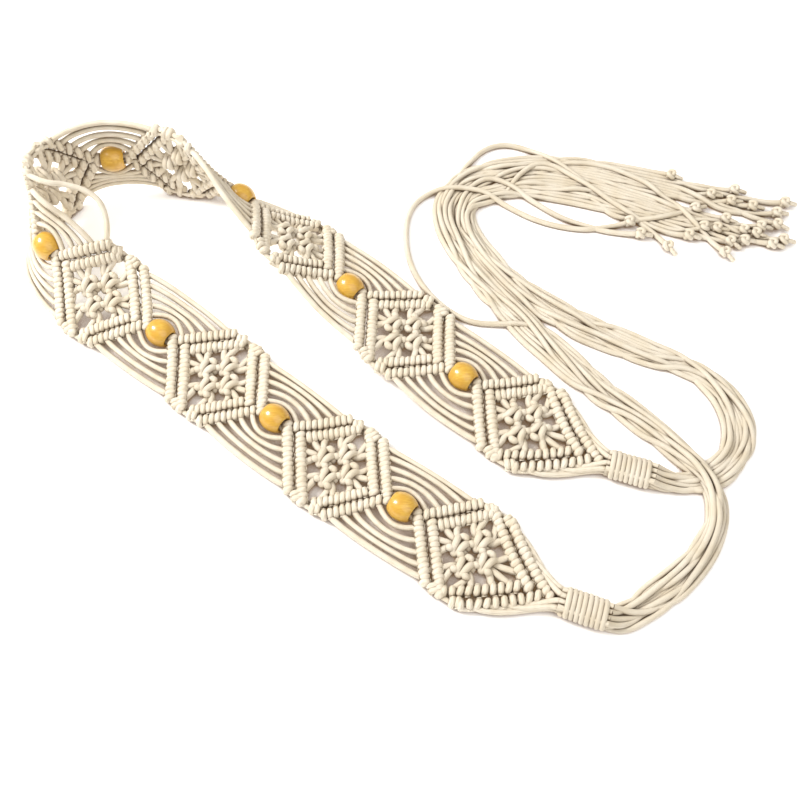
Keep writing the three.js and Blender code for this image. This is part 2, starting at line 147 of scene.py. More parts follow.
# Bare cords between the panels: how far out they arch, and how much one differs from the next
FLOATS_PER_SIDE = 5
FLOATS_WIDEST = HALF_WIDTH - CORD / 2
FLOAT_WANDER = (-0.9, 0.7)
FLOAT_SKEW = (-1.2, 1.2)
FLOAT_RISE = (-0.3, 0.5)
FLOAT_STEPS = 22
CORE_STEPS = 14

# The bare cords on one side of one panel hang bunched under its bead
BUNCHED_PANEL = 5
BUNCHED_WIDEST = 17.0
BUNCHED_REACH = 6.0

# The innermost bare cord of one panel has slipped out of its place and hangs in front of the next,
# by way of these places (x, y, up)
SLIPPED_PANEL = 4
SLIPPED_FLOAT = 8
SLIPPED_HOLD = 2.0
SLIPPED_STEPS = 5
SLIPPED_WAY = [(-150, 83, 29), (-151, 90, 34), (-154, 95, 39), (-161, 98, 43), (-170, 99, 46),
               (-178, 98, 49)]

# Beads
BEAD_DIAMETER = 14.0
BEAD_LENGTH = 12.0
BEAD_END_DIAMETER = 9.4
BEAD_HOLE = 7.0
BEAD_RIM = 0.6
BEAD_RIM_CORNER = 0.3
BEAD_TO_PANEL = 1.4
BEAD_PROFILE_STEPS = 9
BEAD_TURN_STEPS = 32
CORE_SPACING = 3.1

# Gathering wraps: their turns lie flat on the surface, bulge a little and press into each other
WRAP_LENGTH = 22.0
WRAP_WIDTH = 15.0
WRAP_HEIGHT = 11.0
WRAP_TURNS = 8
WRAP_FLAT = 1.0
WRAP_TO_PANEL = 6.5
WRAP_BULGE = 0.25
WRAP_PRESS = 0.08
WRAP_TURN_STEPS = 28

# Where the twelve cords lie in a wrap, from its middle: four across, in three layers. They reach a
# little out of its ends
EXITS = [(across, up) for up in (0.0, 2.6, -2.6) for across in (-1.4, 1.4, -4.2, 4.2)]
INSIDE_REACH = 0.8
INSIDE_STEPS = 4

# Where the cords of one side of an end panel enter its wrap, as (across, up), and how they gather
WRAP_ENTRIES = [(1.5, 0.0), (1.5, 2.6), (4.3, 1.5), (1.6, -2.6), (4.4, -1.4)]
GATHER_HANDLES = (0.4, 0.75)
GATHER_SHARE = 0.85
GATHER_OUT = 2.0
GATHER_WANDER = 0.5
GATHER_STEPS = 18
WRAP_OVERLAP = 4.0

# Derived sizes of the band
HALF_PITCH = HALF_LENGTH + BEAD_TO_PANEL + BEAD_LENGTH / 2
PITCH = 2 * HALF_PITCH
WRAP_OFFSET = END_REACH + WRAP_TO_PANEL + WRAP_LENGTH / 2

# The slanting sides of a panel as (reach, angle), and how far from the panel's middle their outer
# edge and the two rows lie
SIDE = (HALF_LENGTH, SIDE_ANGLE)
END_SIDE = (END_REACH, END_SIDE_ANGLE)
SIDE_DISTANCE = HALF_LENGTH * math.sin(SIDE_ANGLE) + TIP_WIDTH / 2 * math.cos(SIDE_ANGLE)
OUTER_ROW = SIDE_DISTANCE - ROW / 2
INNER_ROW = SIDE_DISTANCE - 1.5 * ROW

# The band's path: heading in degrees from +X, roll (0 lies flat, 90 stands on its outer edge), and
# the share of the full length that the stretch to the next station takes
STATIONS = [
    ("wrap", 160, 0, 1),
    ("panel", 145, 0, 1), ("bead", 146, 0, 0.99),
    ("panel", 143, 0, 1), ("bead", 141, 0, 1),
    ("panel", 140, 0, 0.99), ("bead", 144, 4, 0.98),
    ("panel", 149, 14, 0.97), ("bead", 134, 50, 0.96),
    ("panel", 58, 98, 0.99), ("bead", 5, 98, 0.96),
    ("panel", -21, 90, 0.96), ("bead", -37, 55, 0.96),
    ("panel", -39, 28, 0.97), ("bead", -42, 12, 0.99),
    ("panel", -44, 4, 1), ("bead", -40, 0, 1),
    ("panel", -37, 0, 0.98),
    ("wrap", -18, 0, 1),
]
PATH_START = (82.9, -108.4)
STEPS_PER_STRETCH = 16

# The ties' routes on the surface, listed from the wrap outwards
ROUTE_FRONT = [
    (107, -109), (120, -101), (133, -90), (143, -78), (150, -65), (151, -52), (144, -39),
    (133, -26), (118, -11),
    (102, 2), (87, 17), (72, 33), (57, 50), (42, 69), (31, 90), (24, 110), (25, 125), (35, 137),
    (52, 143), (74, 145), (96, 144), (120, 138), (146, 130), (174, 120),
]
ROUTE_BACK = [
    (135, -46), (149, -43), (160, -35), (166, -22), (165, -7), (158, 8), (145, 19), (128, 26),
    (110, 35), (89, 46), (68, 61), (51, 79), (40, 95), (34, 111), (37, 122), (50, 129), (66, 132),
    (88, 129), (110, 122), (131, 114), (152, 107), (170, 102),
]

# Where each cord of a tie ends in its knot
ENDS_FRONT = [
    (157, 143), (216, 122), (125, 108), (144, 92), (198, 122), (206, 114),
    (186, 119), (173, 129), (192, 130), (211, 105), (181, 111), (174, 88),
]
ENDS_BACK = [
    (198, 97), (166, 108), (213, 97), (162, 117), (175, 103), (187, 103),
    (189, 92), (156, 99), (130, 100), (199, 106), (179, 96), (205, 90),
]

# Cords that leave their bundle for good before it ends: the share of the route where they leave it,
# and the places (x, y, up) that they pass on the way to their own end
STRAYS_FRONT = {
    2: (0.46, [(50, 44, 5), (37, 44, 1.5), (16, 61, 1.5), (5, 83, 1.5), (3, 105, 1.5),
               (6, 120, 1.5), (15, 129, 4), (29, 131, 13), (43, 130, 14), (54, 124, 10),
               (66, 115, 3), (80, 108, 1.5), (102, 104, 1.5)]),
    3: (0.66, [(31, 134, 8), (36, 144, 3), (41, 154, 1.5), (49, 162, 1.5), (59, 165, 1.5),
               (69, 162, 1.5), (79, 156, 6), (92, 146, 10), (109, 130, 10), (124, 117, 9),
               (136, 106, 7)]),
    11: (0.78, [(100, 150, 8), (119, 145, 9), (137, 135, 10), (153, 118, 9), (165, 102, 6)]),
    5: (0.86, [(146, 136, 9), (166, 125, 9), (184, 116, 7)]),
}
STRAYS_BACK = {
    8: (0.64, [(38, 132, 10), (47, 140, 12), (60, 134, 12), (74, 123, 9), (88, 112, 3),
               (108, 104, 1.5)]),
    7: (0.72, [(70, 146, 12), (84, 147, 11), (101, 137, 11), (119, 120, 10), (140, 104, 7)]),
    3: (0.84, [(118, 113, 7), (136, 110, 9)]),
}

# (share of the route, width of the bundle in millimetres)
WIDTHS_FRONT = [(0, 11), (0.06, 16), (0.13, 9), (0.22, 10), (0.32, 12), (0.4, 15), (0.48, 17),
                (0.55, 12), (0.6, 8.5), (0.66, 8.5), (0.72, 12), (0.8, 15), (0.9, 18), (1, 20)]
WIDTHS_BACK = [(0, 11), (0.07, 13), (0.17, 16), (0.25, 12), (0.34, 18), (0.42, 16), (0.49, 12),
               (0.55, 9), (0.63, 8.5), (0.7, 11), (0.8, 14), (0.9, 18), (1, 20)]

# Cords of a tie: how they leave the wrap and spread over the first stretch, and how they wave across
# the bundle and up and down in it, as (waves in the route's length, share of the bundle)
TIE_CORDS = 12
TIE_STEP = 3
TIE_GAP = 0.35
LEAD = 2.5
SPREAD_OVER = 22
CORD_PACKING = 0.8
ROUTE_STEPS = 8
CORD_STEPS = 2
CORD_WAVES = [((1.2, 2.4), (0.5, 0.8)), ((3.0, 4.4), (0.1, 0.25))]

# The front tie climbs over the back one: (share of the route, half its length, height)
HUMP = (0.215, 0.12, 9.6)

# How a cord leaves the bundle for its own end: where, and how far it swings on the way
LEAVE_SHARE = (0.64, 0.82)
END_JITTER = 3.5
END_SWING = 22
START_SWING_SHARE = 0.6
END_HANDLES = (0.4, 0.35)
END_RISE = (CORD, 4 * CORD)

# How the cords settle: each round they fall, keep their stiffness and place, and push apart where
# they are nearer than TOUCH. NEIGHBOURS are the next points of the same cord, which don't push.
# HELD_START is how freely the first points of a cord move, as its wrap holds them
SETTLE_ROUNDS = 50
FALL = 0.22
PULL_HOME = 0.07
STIFFNESS = 0.3
PUSH = 1.5
TOUCH = 0.96 * CORD
NEIGHBOURS = 4
NEAREST = 0.05
HELD_START = (0, 0.2, 0.6)
SMOOTHINGS = 4
LAST_STIFFNESS = 0.5

# End knots: an overhand knot and its tail
END_KNOT_RADIUS = 3.6
KNOT_CORD_RADIUS = 1.25
TAIL_RADIUS = 1.2
KNOT_SLACK = 0.2
KNOT_DEPTH = 1.5
KNOT_TURN = 0.6
KNOT_STEPS = 42
TAIL_START = 3.0
TAIL_LENGTH = 6.5
TAIL_DROP = 1.6
TAIL_ASIDE = 0.8
TAIL_STEPS = 3

# Seeds of the random draws
PANEL_SEED = 100
TIE_SEED = 7

# Camera: where it looks in the path's own frame, and from how far
LOOK_AT = (0.0, 0.0, 0.0)
CAMERA_ELEVATION = 62.0
CAMERA_DISTANCE = 540.0
CAMERA_LENS = 48.6
CAMERA_SENSOR = 36.0

# Lights, in metres from the middle of what they light, as (place, size, power), and the floor
LIT_MIDDLE = (0, 20, 0)
KEY_LIGHT = ((-0.95, 0.3, 0.95), 0.4, 18.5)
FILL_LIGHT = ((0.5, -0.7, 1.4), 1.6, 11)
SKY_STRENGTH = 0.5
FLOOR_HALF = 10.0

# Looks. Textures are in repeats a metre, reaches and depths in millimetres. Open air is how much a
# point sees of what is round it: at the first share the painted shade of a crease is full, at the
# second gone
FIBRES = 2500.0
PATCHES = 110.0
STAIN = 160.0
GRAIN = (260.0, 1400.0, 900.0)
FIBRE_DEPTH = 0.2
BRAID_DEPTH = 0.2
GRAIN_DEPTH = 0.1
# How much shade is painted into the braid's grooves, and into the creases of cord and paper
GROOVE_SHADE = 0.22
CREASE_SHADE = 0.95
CREASE_SHADE_REACH = 4
CREASE_SHADE_AIR = (0.22, 0.82)
PAPER_SHADE_REACH = 10
PAPER_SHADE_AIR = (0.2, 0.63)
PAPER_GLOW = 0.42
AIR_SAMPLES = 4


def lerp(a, b, t):
    return a + (b - a) * t


def smooth(t):
    t = min(1.0, max(0.0, t))
    return t * t * (3 - 2 * t)


# The path's own frame is the CAD's, moved so that the front wrap is where its node is
wrap_low, wrap_high = (Vector(corner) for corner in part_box("wrap_front"))
wrap_middle = (wrap_low + wrap_high) / 2
ORIGIN = Vector((wrap_middle.x - PATH_START[0] * MM, wrap_middle.y - PATH_START[1] * MM, 0))


def to_row(x, y, z):
    """A point of the path's frame in millimetres, as a point of the row frame in metres."""
    return ORIGIN + Vector((x, y, z)) * MM


def standing_height(roll):
    return HALF_WIDTH * math.sin(roll) + ROW_HEIGHT / 2 * abs(math.cos(roll))


def station_height(kind, roll):
    base = standing_height(math.radians(roll))
    if kind == "bead":
        return max(base, BEAD_DIAMETER / 2)
    if kind == "wrap":
        return WRAP_HEIGHT / 2 - WRAP_FLAT
    return base


def trace_path():
    """Samples (along, x, y, heading, roll, lift) of the band's middle line."""
    samples = []
    x, y = PATH_START
    along = -WRAP_OFFSET
    last = len(STATIONS) - 2
    for k in range(last + 1):
        kind, heading, roll, draw = STATIONS[k]
        next_kind, next_heading, next_roll, _ = STATIONS[k + 1]
        nominal = WRAP_OFFSET if k in (0, last) else HALF_PITCH
        height, next_height = station_height(kind, roll), station_height(next_kind, next_roll)
        plan = math.sqrt(max(0.0, (nominal * draw) ** 2 - (next_height - height) ** 2))
        lift_from = height - standing_height(math.radians(roll))
        lift_to = next_height - standing_height(math.radians(next_roll))
        for i in range(STEPS_PER_STRETCH):
            t = i / STEPS_PER_STRETCH
            ease = smooth(t)
            turned = math.radians(lerp(heading, next_heading, t))
            rolled = math.radians(lerp(roll, next_roll, t))
            lift = lerp(lift_from, lift_to, ease) * max(1 - ease, ease) ** 0.5
            samples.append((along + nominal * t, x, y, turned, rolled, lift))
            middle = math.radians(lerp(heading, next_heading, t + 0.5 / STEPS_PER_STRETCH))
            x += plan / STEPS_PER_STRETCH * math.cos(middle)
            y += plan / STEPS_PER_STRETCH * math.sin(middle)
        along += nominal
    kind, heading, roll, _ = STATIONS[-1]
    lift = station_height(kind, roll) - standing_height(math.radians(roll))
    samples.append((along, x, y, math.radians(heading), math.radians(roll), lift))
    return np.array(samples)


PATH = trace_path()


def path_at(along):
    """(x, y, heading, roll, lift) of the band's middle line at a distance along it."""
    k = int(np.searchsorted(PATH[:, 0], along, side="right")) - 1
    k = min(max(k, 0), len(PATH) - 2)
    t = (along - PATH[k, 0]) / (PATH[k + 1, 0] - PATH[k, 0])
    return PATH[k, 1:] + (PATH[k + 1, 1:] - PATH[k, 1:]) * t


def band_point(along, across, up=0.0):
    """A point of the flat band, carried onto its path. across is positive towards the outer edge."""
    x, y, heading, roll, lift = path_at(along)
    droop = max(0.0, 1 - abs(across) / HALF_WIDTH)
    sideways = across * math.cos(roll) + up * math.sin(roll)
    return to_row(
        x - math.sin(heading) * sideways,
        y + math.cos(heading) * sideways,
        standing_height(roll) + lift * droop + up * math.cos(roll) - across * math.sin(roll),
    )


def spline(points, per_span=4):
    """A centripetal Catmull-Rom line through the points, as a list of vectors."""
    line = [Vector(p) for p in points]
    line = [2 * line[0] - line[1], *line, 2 * line[-1] - line[-2]]
    out = []
    for p0, p1, p2, p3 in zip(line, line[1:], line[2:], line[3:]):
        t1 = max((p1 - p0).length, 1e-9) ** 0.5
        t2 = t1 + max((p2 - p1).length, 1e-9) ** 0.5
        t3 = t2 + max((p3 - p2).length, 1e-9) ** 0.5
        for i in range(per_span):
            t = lerp(t1, t2, i / per_span)
            a1 = p0.lerp(p1, t / t1)
            a2 = p1.lerp(p2, (t - t1) / (t2 - t1))
            a3 = p2.lerp(p3, (t - t2) / (t3 - t2))
            b1 = a1.lerp(a2, t / t2)
            b2 = a2.lerp(a3, (t - t1) / (t3 - t1))
            out.append(b1.lerp(b2, (t - t1) / (t2 - t1)))
    out.append(line[-2])
    return out


def line_length(line):
    return sum((b - a).length for a, b in zip(line, line[1:]))


def even_line(line, step):
    """The same line with points about step apart."""
    far = [0.0]
    for a, b in zip(line, line[1:]):
        far.append(far[-1] + (b - a).length)
    count = max(2, round(far[-1] / step) + 1)
    at = np.linspace(0, far[-1], count)
    points = np.array([tuple(p) for p in line])
    return [Vector(p) for p in np.stack([np.interp(at, far, points[:, k]) for k in range(3)], 1)]


# Camera, floor and light
def make_camera():
    elevation = math.radians(CAMERA_ELEVATION)
    target = to_row(*LOOK_AT)
    away = Vector((0, -math.cos(elevation), math.sin(elevation))) * CAMERA_DISTANCE * MM
    data = bpy.data.cameras.new("camera")
    data.lens = CAMERA_LENS
    data.sensor_width = CAMERA_SENSOR
    camera = bpy.data.objects.new("camera", data)
    camera.location = target + away
    camera.rotation_euler = (math.radians(90 - CAMERA_ELEVATION), 0, 0)
    bpy.context.collection.objects.link(camera)
    bpy.context.scene.camera = camera


def area_light(name, place, aim, size, power):
    data = bpy.data.lights.new(name, "AREA")
    data.size = size
    data.energy = power
    lamp = bpy.data.objects.new(name, data)
    lamp.location = place
    lamp.rotation_euler = (Vector(aim) - Vector(place)).to_track_quat("-Z", "Y").to_euler()
    bpy.context.collection.objects.link(lamp)


def make_studio():
    middle = to_row(*LIT_MIDDLE)
    for name, (place, size, power) in (("key", KEY_LIGHT), ("fill", FILL_LIGHT)):
        area_light(name, middle + Vector(place), middle, size, power)
    world = bpy.data.worlds.new("studio")
    world.use_nodes = True
    sky = world.node_tree.nodes["Background"]
    sky.inputs["Color"].default_value = colour("FFF9F0")
    sky.inputs["Strength"].default_value = SKY_STRENGTH
    bpy.context.scene.world = world
    bpy.context.scene.view_settings.view_transform = "Standard"

    bm = bmesh.new()
    bmesh.ops.create_grid(bm, x_segments=1, y_segments=1, size=FLOOR_HALF)
    mesh = bpy.data.meshes.new("floor")
    bm.to_mesh(mesh)
    bm.free()
    floor = bpy.data.objects.new("floor", mesh)
    mesh.materials.append(make_paper())
    bpy.context.collection.objects.link(floor)


# Materials
def colour(hex_code):
    """An sRGB hex colour as linear RGBA."""
    channels = [int(hex_code[i:i + 2], 16) / 255 for i in (0, 2, 4)]
    linear = [c / 12.92 if c <= 0.04045 else ((c + 0.055) / 1.055) ** 2.4 for c in channels]
    return (*linear, 1.0)


def new_material(name):
    """An empty material's tree and its Principled shader."""
    material = bpy.data.materials.new(name)
    material.use_nodes = True
    return material, material.node_tree, material.node_tree.nodes["Principled BSDF"]


def add_node(tree, kind, settings=None, **links):
    """One node with its settings. An input is set by its name: a socket links, a value is set."""
    node = tree.nodes.new(kind)
    for name, value in (settings or {}).items():
        setattr(node, name, value)
    for name, value in links.items():
        key = int(name[1:]) if name[0] == "i" and name[1:].isdigit() else name.replace("_", " ")
        socket = node.inputs[key]
        if isinstance(value, bpy.types.NodeSocket):
            tree.links.new(value, socket)
        else:
            socket.default_value = value
    return node


def make_paper():
    """White seamless paper, uncoated and lit through: an even matt white with weak shadows, and
    painted brown shade where the cords hide it.
    """
    material, tree, shader = new_material("white_paper")
    # Painted shade: between the cords the paper's colour and glow are mixed towards a warm brown,
    # which stands for the shade there and the brown light that the cords throw back
    open_air = add_node(tree, "ShaderNodeAmbientOcclusion", {"samples": AIR_SAMPLES},
                        Distance=PAPER_SHADE_REACH * MM)
    paper_shade_mask = add_node(tree, "ShaderNodeMapRange", i0=open_air.outputs["AO"], i1=PAPER_SHADE_AIR[0],
                      i2=PAPER_SHADE_AIR[1], i3=1.0, i4=0.0)
    tone = add_node(tree, "ShaderNodeMix", {"data_type": "RGBA"}, i0=paper_shade_mask.outputs[0],
                    i6=colour("FAFAFA"), i7=colour("7E5C30"))
    tree.links.new(tone.outputs[2], shader.inputs["Base Color"])
    tree.links.new(tone.outputs[2], shader.inputs["Emission Color"])
    shader.inputs["Roughness"].default_value = 0.9
    shader.inputs["Emission Strength"].default_value = PAPER_GLOW
    return material


def make_cotton(name, light, shade, groove_shade_colour):
    """Waxed cotton cord, braided round and drawn through wax: soft cream with a satin gleam, its
    diagonal lay just to be seen, and painted shade in the grooves of the lay and in the creases
    between the cords."""
    material, tree, shader = new_material(name)
    place = add_node(tree, "ShaderNodeTexCoord")
    apart = add_node(tree, "ShaderNodeSeparateXYZ", i0=place.outputs["UV"])
    # The UVs hold the share of the way round, and the millimetres along
    turn = add_node(tree, "ShaderNodeMath", {"operation": "MULTIPLY"},
                    i0=apart.outputs["X"], i1=2 * math.pi * BRAID_STRANDS)
    run = add_node(tree, "ShaderNodeMath", {"operation": "MULTIPLY"},
                   i0=apart.outputs["Y"], i1=2 * math.pi / BRAID_LAY)
    waves = []
    for operation in ("ADD", "SUBTRACT"):
        both = add_node(tree, "ShaderNodeMath", {"operation": operation},
                        i0=run.outputs[0], i1=turn.outputs[0])
        waves.append(add_node(tree, "ShaderNodeMath", {"operation": "SINE"}, i0=both.outputs[0]))
    braid = add_node(tree, "ShaderNodeMath", {"operation": "MAXIMUM"},
                     i0=waves[0].outputs[0], i1=waves[1].outputs[0])
    # Fibres of about 0.4 mm, and patches of about 9 mm where the wax took unevenly
    fibres = add_node(tree, "ShaderNodeTexNoise", Vector=place.outputs["Object"],
                      Scale=FIBRES, Detail=2.0, Roughness=0.6)
    patches = add_node(tree, "ShaderNodeTexNoise", Vector=place.outputs["Object"],
                       Scale=PATCHES, Detail=2.0, Roughness=0.5)
    tone = add_node(tree, "ShaderNodeMapRange", i0=patches.outputs["Fac"], i1=0.32, i2=0.68)
    body = add_node(tree, "ShaderNodeMix", {"data_type": "RGBA"}, i0=tone.outputs[0],
                    i6=colour(light), i7=colour(shade))
    # Painted shade: the braid's grooves, where its lay runs low, are mixed towards the darker brown
    # colour
    groove_shade_mask = add_node(tree, "ShaderNodeMapRange", i0=braid.outputs[0], i1=-0.6, i2=0.9,
                       i3=GROOVE_SHADE, i4=0.0)
    groove_shaded = add_node(tree, "ShaderNodeMix", {"data_type": "RGBA"}, i0=groove_shade_mask.outputs[0],
                      i6=body.outputs[2], i7=colour(groove_shade_colour))
    # Painted shade: the creases between the cords, where little open air reaches, are mixed towards a
    # dark brown
    open_air = add_node(tree, "ShaderNodeAmbientOcclusion", {"samples": AIR_SAMPLES},
                        Distance=CREASE_SHADE_REACH * MM)
    crease_shade_mask = add_node(tree, "ShaderNodeMapRange", i0=open_air.outputs["AO"], i1=CREASE_SHADE_AIR[0],
                      i2=CREASE_SHADE_AIR[1], i3=CREASE_SHADE, i4=0.0)
    crease_shaded = add_node(tree, "ShaderNodeMix", {"data_type": "RGBA"}, i0=crease_shade_mask.outputs[0],
                      i6=groove_shaded.outputs[2], i7=colour("64471F"))
    tree.links.new(crease_shaded.outputs[2], shader.inputs["Base Color"])
    fine = add_node(tree, "ShaderNodeBump", i0=0.25, i1=FIBRE_DEPTH * MM,
                    Height=fibres.outputs["Fac"])
    lay = add_node(tree, "ShaderNodeBump", i0=0.35, i1=BRAID_DEPTH * MM,
                   Height=braid.outputs[0], Normal=fine.outputs[0])
    tree.links.new(lay.outputs[0], shader.inputs["Normal"])
    shader.inputs["Roughness"].default_value = 0.62
    shader.inputs["Specular IOR Level"].default_value = 0.35
    shader.inputs["Sheen Weight"].default_value = 0.15
    shader.inputs["Sheen Roughness"].default_value = 0.4
    return material


def make_lacquered_wood():
    """Turned hardwood, stained golden ochre and lacquered: warm grain lines under a clear gloss."""
    material, tree, shader = new_material("lacquered_wood")
    place = add_node(tree, "ShaderNodeTexCoord")
    warp = add_node(tree, "ShaderNodeMapping", Vector=place.outputs["Object"], Scale=GRAIN)
    grain = add_node(tree, "ShaderNodeTexNoise", Vector=warp.outputs[0], Scale=1.0, Detail=3.0)
    stain = add_node(tree, "ShaderNodeTexNoise", Vector=place.outputs["Object"],
                     Scale=STAIN, Detail=1.0)
    lines = add_node(tree, "ShaderNodeMapRange", i0=grain.outputs["Fac"], i1=0.35, i2=0.7)
    patch = add_node(tree, "ShaderNodeMapRange", i0=stain.outputs["Fac"], i1=0.35, i2=0.65)
    pale = add_node(tree, "ShaderNodeMix", {"data_type": "RGBA"}, i0=patch.outputs[0],
                    i6=colour("E6BC4E"), i7=colour("D9A83A"))
    wood = add_node(tree, "ShaderNodeMix", {"data_type": "RGBA"}, i0=lines.outputs[0],
                    i6=pale.outputs[2], i7=colour("D09C36"))
    tree.links.new(wood.outputs[2], shader.inputs["Base Color"])
    bump = add_node(tree, "ShaderNodeBump", i0=0.08, i1=GRAIN_DEPTH * MM,
                    Height=grain.outputs["Fac"])
    tree.links.new(bump.outputs[0], shader.inputs["Normal"])
    shader.inputs["Roughness"].default_value = 0.36
    shader.inputs["Coat Weight"].default_value = 0.7
    shader.inputs["Coat Roughness"].default_value = 0.12
    return material


# Pieces
def finished_mesh(name, mesh, material, slot, *nodes):
    """A mesh as a piece that rides on the belt and stands for its CAD nodes."""
    mesh.name = name
    mesh.materials.clear()
    mesh.materials.append(material)
    piece = bpy.data.objects.new(name, mesh)
    bpy.context.collection.objects.link(piece)
    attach(piece, BODY)
    if nodes:
        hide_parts(*nodes)
    return piece


def cord_mesh(lines, radius, sides=CORD_SIDES):
    """Round cords along the lines (row frame, metres) as one mesh. Its UVs hold the share of the
    way round a cord and the millimetres along it."""
    curve = bpy.data.curves.new("cords", "CURVE")
    curve.dimensions = "3D"
    curve.twist_mode = "MINIMUM"
    curve.bevel_depth = radius * MM
    curve.bevel_resolution = (sides - 4) // 2
    curve.use_fill_caps = True
    for line in lines:
        part = curve.splines.new("POLY")
        part.points.add(len(line) - 1)
        part.points.foreach_set("co", [c for p in line for c in (*p, 1.0)])
    holder = bpy.data.objects.new("cords", curve)
    mesh = bpy.data.meshes.new_from_object(holder)
    bpy.data.objects.remove(holder)
    bpy.data.curves.remove(curve)
    usual = sum(line_length(line) for line in lines) / len(lines) / MM
    uvs = mesh.uv_layers[0].data
    flat = np.zeros(2 * len(uvs))
    uvs.foreach_get("uv", flat)
    flat[1::2] *= usual
    uvs.foreach_set("uv", flat)
    return mesh


def joined_mesh(meshes):
    """Several meshes as one, with its normals outwards."""
    bm = bmesh.new()
    for mesh in meshes:
        bm.from_mesh(mesh)
        bpy.data.meshes.remove(mesh)
    bmesh.ops.recalc_face_normals(bm, faces=bm.faces)
    whole = bpy.data.meshes.new("whole")
    bm.to_mesh(whole)
    bm.free()
    whole.shade_smooth()
    return whole


def side_point(distance, side, across):
    """The point of a slanting line, at a distance from the panel's middle, that lies that far out."""
    reach, angle = side
    return Vector(((distance - abs(across) * math.cos(angle)) / math.sin(angle), across))


def knot_leg(role, middle, hand):
    """The stretch of one cord through a square knot. hand is the side (-1 or 1) that it is on."""
    along, across = middle
    if role == "filler":
        return [(along + reach, across + hand * FILLER_SPACING / 2, KNOT_LIFT)
                for reach in (-KNOT_STEP / 2, 0, KNOT_STEP / 2)]
    table = FRONT_CORD if hand < 0 else BACK_CORD
    return [(along + a * KNOT_SCALE, across + c * KNOT_SCALE, u * KNOT_SCALE + KNOT_LIFT)
            for a, c, u in table]


def net_lines(back, front):
    """The eight cords of the net: one square knot, then two, then one, and out to the rows."""
    first, last = (-KNOT_STEP, 0), (KNOT_STEP, 0)
    lines = []
    for hand in (-1, 1):
        beside = (0, hand * KNOT_SIDE)
        legs = [
            [*knot_leg("filler", first, hand), *knot_leg("outer", beside, -hand),
             *knot_leg("filler", last, hand)],
            [*knot_leg("outer", first, hand), *knot_leg("filler", beside, -hand),
             *knot_leg("outer", last, hand)],
            knot_leg("filler", beside, hand),
            knot_leg("outer", beside, hand),
        ]
        for leg, share in zip(legs, NET_EXITS):
            across = hand * HALF_WIDTH * share
            row_ends = [side_point(INNER_ROW, side, across) for side in (back, front)]
            start, end = ((sign * p.x, p.y, NET_EXIT_LIFT) for sign, p in zip((-1, 1), row_ends))
            lines.append([start, *leg, end])
    return lines


def squared(value):
    """A sine or cosine drawn out, so that a loop's section is a rounded square."""
    return math.copysign(abs(value) ** LOOP_SQUARENESS, value)


def hitch(start, end, middle, spacing, radius, rng):
    """One double half hitch on a row from start to end: two loops in front, one crossing behind."""
    tangent = (end - start).normalized()
    outward = Vector((tangent.y, -tangent.x))
    if outward.dot(start + end) < 0:
        outward = -outward
    half_width = (RIDGE_HALF_LENGTH - radius) * rng.uniform(*RIDGE_LENGTH_SPREAD)
    half_height = (RIDGE_TOP - radius) * rng.uniform(*RIDGE_HEIGHT_SPREAD)
    lean = rng.uniform(*RIDGE_LEAN)
    points = []
    for i in range(LOOP_STEPS + 1):
        angle = 3 * math.pi * i / LOOP_STEPS
        behind = smooth((angle - math.pi) / math.pi)
        shift = spacing * (behind - 0.5) + lean * spacing * math.cos(angle)
        place = middle + tangent * shift + outward * half_width * squared(math.cos(angle))
        points.append((place.x, place.y, ROW_LIFT + half_height * squared(math.sin(angle))))
    first, last = Vector(points[0]), Vector(points[-1])
    reach = Vector((outward.x, outward.y, 0)) * LOOP_TAIL
    dip = Vector((0, 0, LOOP_DIP))
    return [first + reach - dip, *points, last - reach - dip]


def row_lines(back, front):
    """Each row of hitches as (start, end, runs through at the tip), from its tip to the edge."""
    for distance, inset in ((OUTER_ROW, OUTER_ROW_INSET), (INNER_ROW, INNER_ROW_INSET)):
        for side, end in ((front, 1), (back, -1)):
            for hand in (1, -1):
                tip = side_point(distance, side, 0)
                edge = side_point(distance, side, hand * (HALF_WIDTH - inset))
                through = end == hand
                flip = Vector((end, 1))
                start, stop = tip * flip, edge * flip
                ahead = (stop - start).normalized()
                start += ahead * (-ROW_MEETING if through else ROW_MEETING)
                if distance == INNER_ROW and not through:
                    stop -= ahead * ROW_MEETING
                yield start, stop, through


def hitch_lines(back, front, rng):
    """The hitches' loops: those of the rows that run through at a tip, and all the others."""
    straight, beside = [], []
    for start, stop, through in row_lines(back, front):
        lines = straight if through else beside
        count = THROUGH_HITCHES if through else BESIDE_HITCHES
        radius = THROUGH_RADIUS if through else LOOP_RADIUS
        spacing = (stop - start).length / (2 * count)
        for k in range(count):
            middle = start.lerp(stop, (k + 0.5) / count)
            lines.append(hitch(start, stop, middle, spacing, radius, rng))
    along, inset = CORNER_PLACE
    reach, rise = CORNER_REACH
    for hand in (-1, 1):
        for end in (-1, 1):
            corner = Vector((end * along, hand * (HALF_WIDTH - inset)))
            ahead = Vector((reach, -hand * end * rise))
            start, stop = corner - ahead, corner + ahead
            beside.append(hitch(start, stop, corner, CORNER_SPACING, LOOP_RADIUS, rng))
    return straight, beside


def holding_lines(back, front):
    """The cords inside the rows, which the hitches are tied on, and those along the edges."""
    lines = []
    for start, stop, _ in row_lines(back, front):
        shares = (k / HELD_STEPS for k in range(HELD_STEPS + 1))
        lines.append([(*start.lerp(stop, share), ROW_LIFT) for share in shares])
    for hand in (-1, 1):
        for inset, up in EDGE_CORDS:
            line = [(x, hand * (HALF_WIDTH - inset - inward), up - drop)
                    for x, inward, drop in EDGE_WAY]
            lines.append([tuple(p) for p in spline(line, EDGE_STEPS)])
    return lines


def bezier(points, steps):
    a, b, c, d = (Vector(p) for p in points)
    line = []
    for i in range(steps + 1):
        t = i / steps
        line.append(a * (1 - t) ** 3 + b * 3 * t * (1 - t) ** 2 + c * 3 * t * t * (1 - t) + d * t ** 3)
    return line


